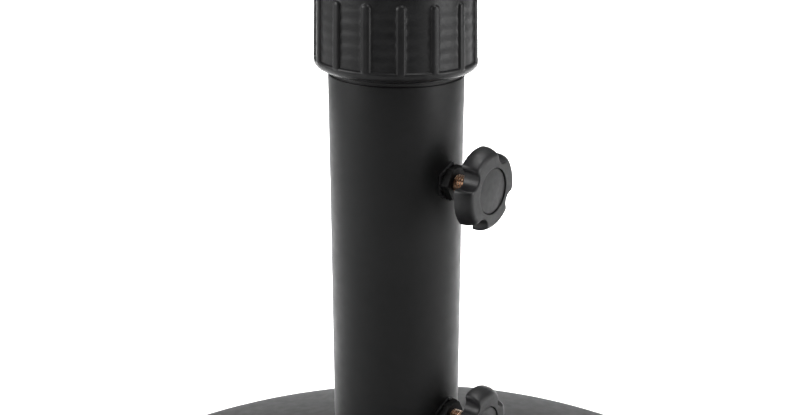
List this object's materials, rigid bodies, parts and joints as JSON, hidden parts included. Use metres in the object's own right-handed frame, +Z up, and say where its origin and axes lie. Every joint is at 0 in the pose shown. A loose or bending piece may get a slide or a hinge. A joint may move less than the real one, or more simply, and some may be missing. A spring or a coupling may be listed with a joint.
{
  "type": "parasol base",
  "caption": "Weighted round base with a stem tube that grips a parasol pole by screw knobs and a threaded clamping collar.",
  "frame": {"origin": "on the floor, in the middle of the round weight, on the stem's axis", "axes": "+Z up along the stem; the clamp knobs point 59 degrees round from -Y towards +X"},
  "size_m": [0.5, 0.5, 0.38],
  "materials": {
    "black_powder_coat": "satin",
    "concrete": "matte",
    "rubber": "matte",
    "zinc_steel": "satin",
    "yellow_zinc": "satin",
    "black_plastic": "satin",
    "black_nylon": "matte"
  },
  "bodies": {
    "base": {"weight_shell": "black_powder_coat", "concrete_core": "concrete", "base_plate": "black_powder_coat", "rubber_feet": "rubber", "feet_screws": "zinc_steel", "stem_tube": "black_powder_coat", "foot_disc": "black_powder_coat", "anchor_nut": "zinc_steel", "anchor_washer": "zinc_steel", "anchor_bolt": "zinc_steel", "trim_ring": "black_plastic", "upper_weld_nut": "black_powder_coat", "lower_weld_nut": "black_powder_coat", "threaded_sleeve": "black_nylon"},
    "upper_pad": {"upper_shoe": "black_nylon"},
    "upper_knob": {"upper_screw": "yellow_zinc", "upper_knob": "black_plastic", "upper_knob_cap": "black_plastic"},
    "lower_pad": {"lower_shoe": "black_nylon"},
    "lower_knob": {"lower_screw": "yellow_zinc", "lower_knob": "black_plastic", "lower_knob_cap": "black_plastic"},
    "collet": {"collet": "black_nylon"},
    "collar": {"collar_nut": "black_plastic"}
  },
  "joints": [
    {"name": "upper_pad_slide", "type": "slide", "parent": "base", "child": "upper_pad", "axis": [0.8572, -0.515, 0], "range_m": [-0.00813, 0]},
    {"name": "upper_knob_turn", "type": "hinge", "parent": "upper_pad", "child": "upper_knob", "pos_m": [0.03857, -0.02318, 0.2903], "axis": [0.8572, -0.515, 0], "range_deg": [-2340, 0]},
    {"name": "lower_pad_slide", "type": "slide", "parent": "base", "child": "lower_pad", "axis": [0.8572, -0.515, 0], "range_m": [-0.00813, 0]},
    {"name": "lower_knob_turn", "type": "hinge", "parent": "lower_pad", "child": "lower_knob", "pos_m": [0.03857, -0.02318, 0.1734], "axis": [0.8572, -0.515, 0], "range_deg": [-2340, 0]},
    {"name": "collet_slide", "type": "slide", "parent": "base", "child": "collet", "axis": [0, 0, 1], "range_m": [0, 0.01]},
    {"name": "collar_turn", "type": "hinge", "parent": "collet", "child": "collar", "pos_m": [0, 0, 0.358], "axis": [0, 0, 1], "range_deg": [0, 720]}
  ],
  "couplings": [
    {"joint": "upper_pad_slide", "follows": "upper_knob_turn", "m_per_rad": 0.00019894},
    {"joint": "lower_pad_slide", "follows": "lower_knob_turn", "m_per_rad": 0.00019894},
    {"joint": "collet_slide", "follows": "collar_turn", "m_per_rad": 0.00079577}
  ]
}
